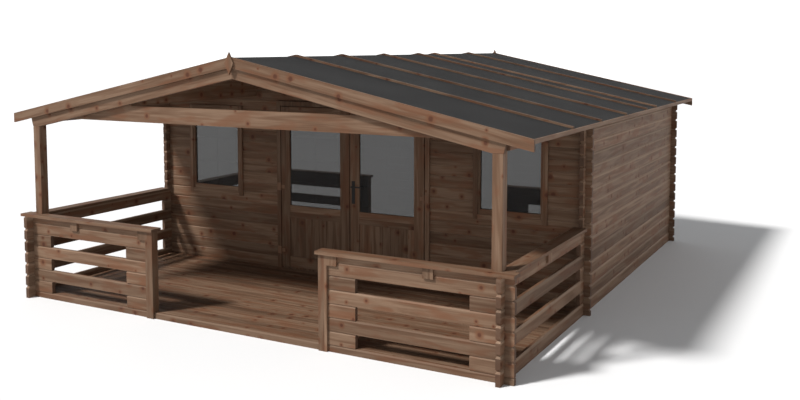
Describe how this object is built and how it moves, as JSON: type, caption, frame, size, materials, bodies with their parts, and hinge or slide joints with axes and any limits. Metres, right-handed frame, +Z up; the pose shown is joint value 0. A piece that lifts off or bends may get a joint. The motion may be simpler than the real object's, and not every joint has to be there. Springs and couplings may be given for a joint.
{
  "type": "log garden cabin",
  "caption": "Log garden cabin with a low felted gable roof, a railed veranda under the front of it, glazed double doors and windows beside them.",
  "frame": {"origin": "centre of the bounding box at ground level", "axes": "+X to the right across the front as seen from outside, +Y from the veranda to the back wall, +Z up"},
  "size_m": [5.69, 6.232, 2.5427],
  "materials": {
    "stained_wood": "satin",
    "rough_wood": "matte",
    "felt": "matte",
    "glass": "gloss",
    "iron": "satin"
  },
  "bodies": {
    "cabin": {"floor_bearers": "rough_wood", "room_floor": "stained_wood", "veranda_deck": "stained_wood", "front_sill_log": "stained_wood", "front_wall_left": "stained_wood", "front_wall_right": "stained_wood", "front_gable": "stained_wood", "left_wall": "stained_wood", "right_wall": "stained_wood", "back_wall": "stained_wood", "eave_logs": "stained_wood", "left_railing": "stained_wood", "right_railing": "stained_wood", "front_left_railing": "stained_wood", "front_right_railing": "stained_wood", "side_caps": "stained_wood", "front_caps": "stained_wood", "cap_cleats": "stained_wood", "end_posts": "stained_wood", "corner_posts": "stained_wood", "front_rafter_left": "stained_wood", "front_rafter_right": "stained_wood", "tie_beam": "stained_wood", "roof_purlins": "stained_wood", "roof_boards_left": "stained_wood", "roof_boards_right": "stained_wood", "roof_felt": "felt", "roof_battens": "stained_wood", "front_barge_left": "stained_wood", "front_barge_right": "stained_wood", "rear_barge_left": "stained_wood", "rear_barge_right": "stained_wood", "finials": "stained_wood", "eave_trims": "stained_wood", "door_frame": "stained_wood", "door_casing": "stained_wood", "hinge_pins": "iron", "window_frames": "stained_wood", "window_glass": "glass"},
    "left_leaf": {"left_door_leaf": "stained_wood", "left_door_glass": "glass", "left_knuckles": "iron"},
    "right_leaf": {"right_door_leaf": "stained_wood", "right_door_glass": "glass", "right_knuckles": "iron", "handle_plates": "iron"},
    "lever": {"door_lever": "iron"}
  },
  "joints": [
    {"name": "left_door", "type": "hinge", "parent": "cabin", "child": "left_leaf", "pos_m": [-0.914, -1.013, 1], "axis": [0, 0, -1], "range_deg": [0, 100]},
    {"name": "right_door", "type": "hinge", "parent": "cabin", "child": "right_leaf", "pos_m": [0.914, -1.013, 1], "axis": [0, 0, 1], "range_deg": [0, 100]},
    {"name": "door_handle", "type": "hinge", "parent": "right_leaf", "child": "lever", "pos_m": [0.049, -1.004, 1.07], "axis": [0, 1, 0], "range_deg": [0, 40], "stiffness_Nm_per_rad": 0.8, "springref_deg": -34.38}
  ]
}
